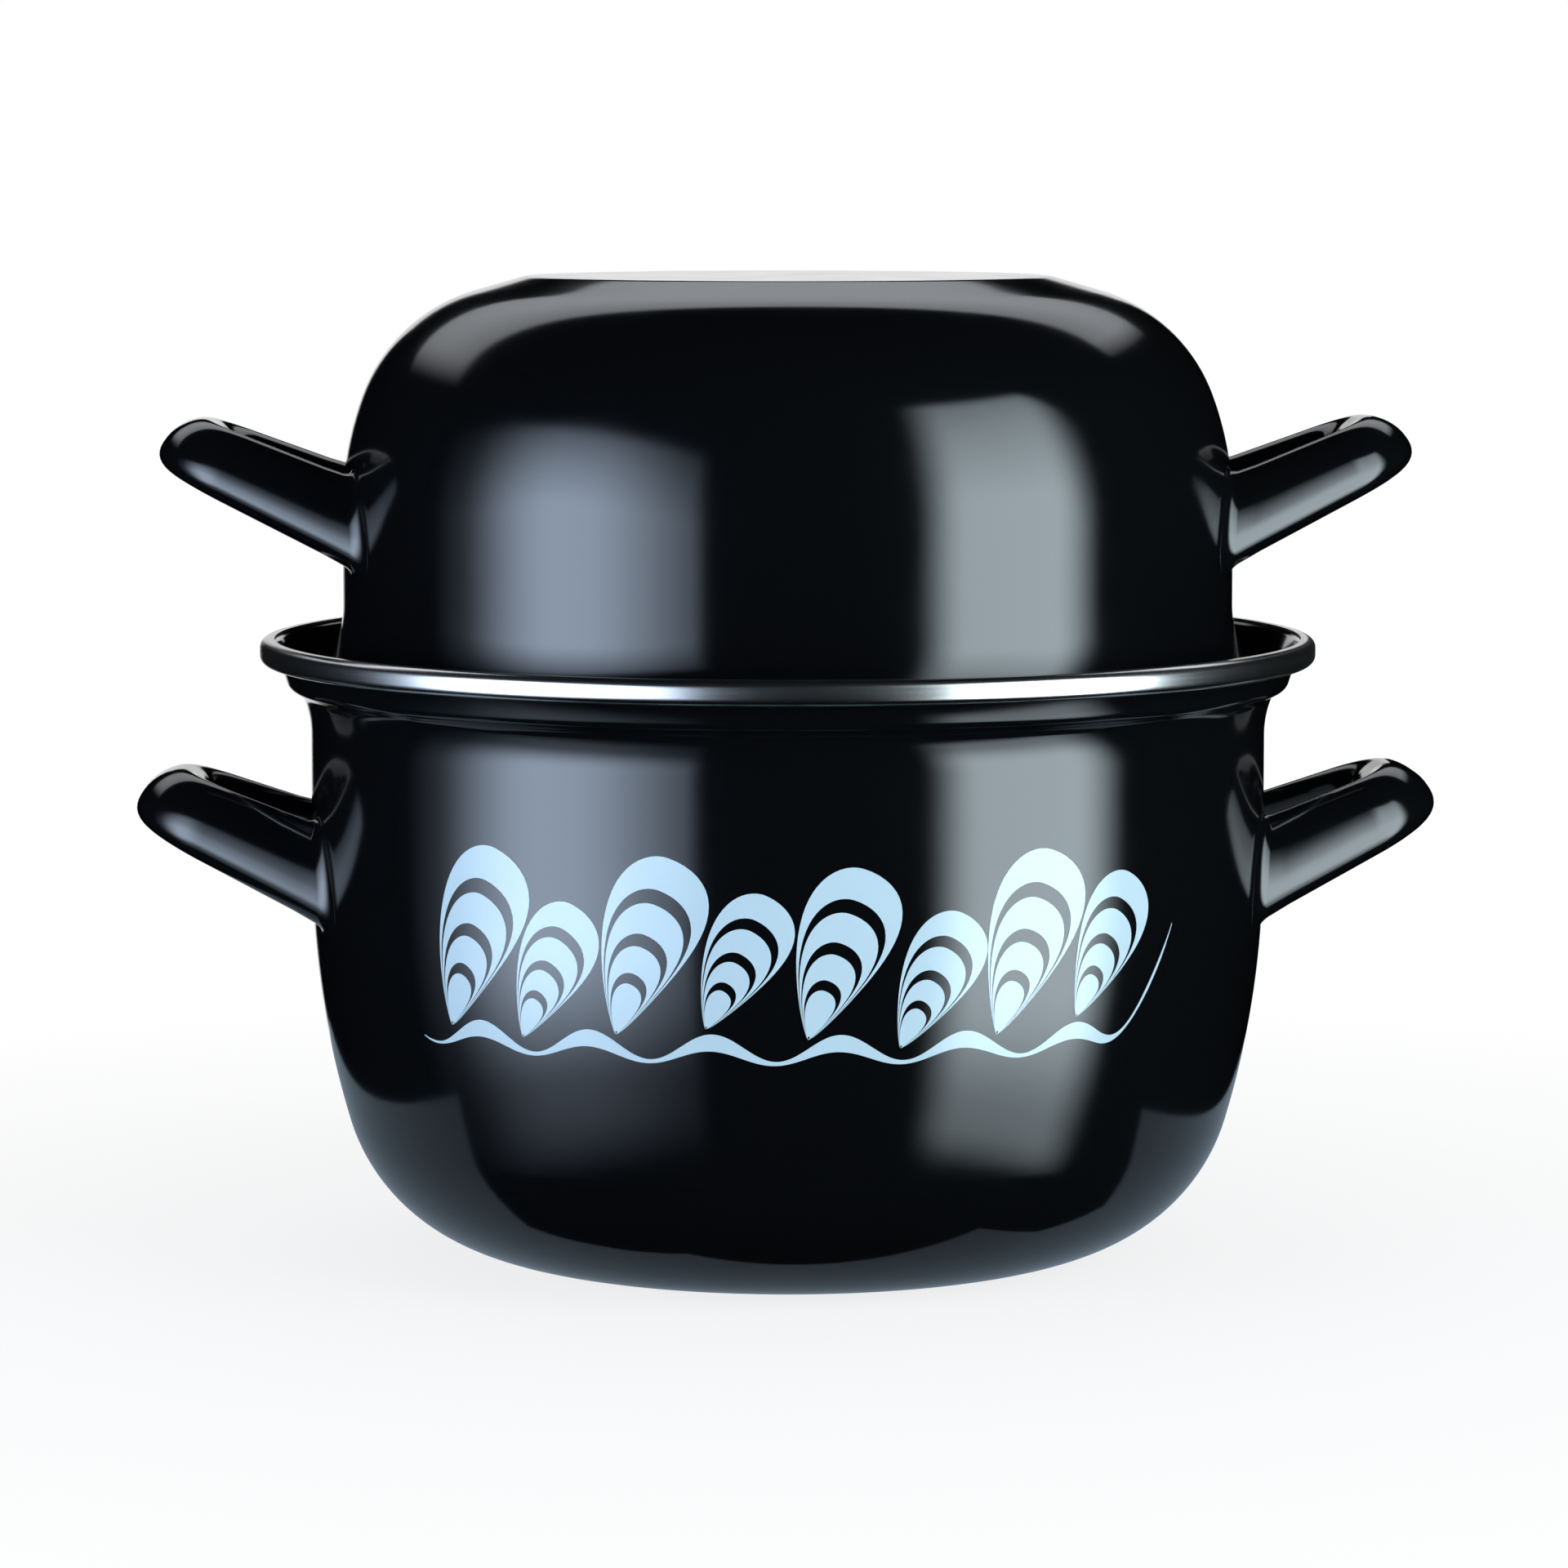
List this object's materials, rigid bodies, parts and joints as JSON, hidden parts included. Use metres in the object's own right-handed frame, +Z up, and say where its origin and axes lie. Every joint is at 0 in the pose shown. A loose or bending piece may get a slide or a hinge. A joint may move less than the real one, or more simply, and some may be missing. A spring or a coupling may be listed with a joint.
{
  "type": "mussel pot",
  "caption": "Black enamelled steel mussel pot with a stainless rim and a deep domed lid that turns over to hold the empty shells.",
  "frame": {"origin": "Centre of the base, on the plane that the pot stands on.", "axes": "+Z is up, along the axis of the pot. The handles lie along X. +Y points to the back."},
  "size_m": [0.3088, 0.2502, 0.2317],
  "materials": {
    "enamel": "glossy vitreous enamel, jet black",
    "rim_steel": "bright polished stainless steel"
  },
  "bodies": {
    "root": {"pot_body": "enamel", "pot_rim_band": "rim_steel", "pot_handle_left": "enamel", "pot_handle_right": "enamel", "lid_bowl": "enamel", "lid_handle_left": "enamel", "lid_handle_right": "enamel"}
  },
  "joints": []
}
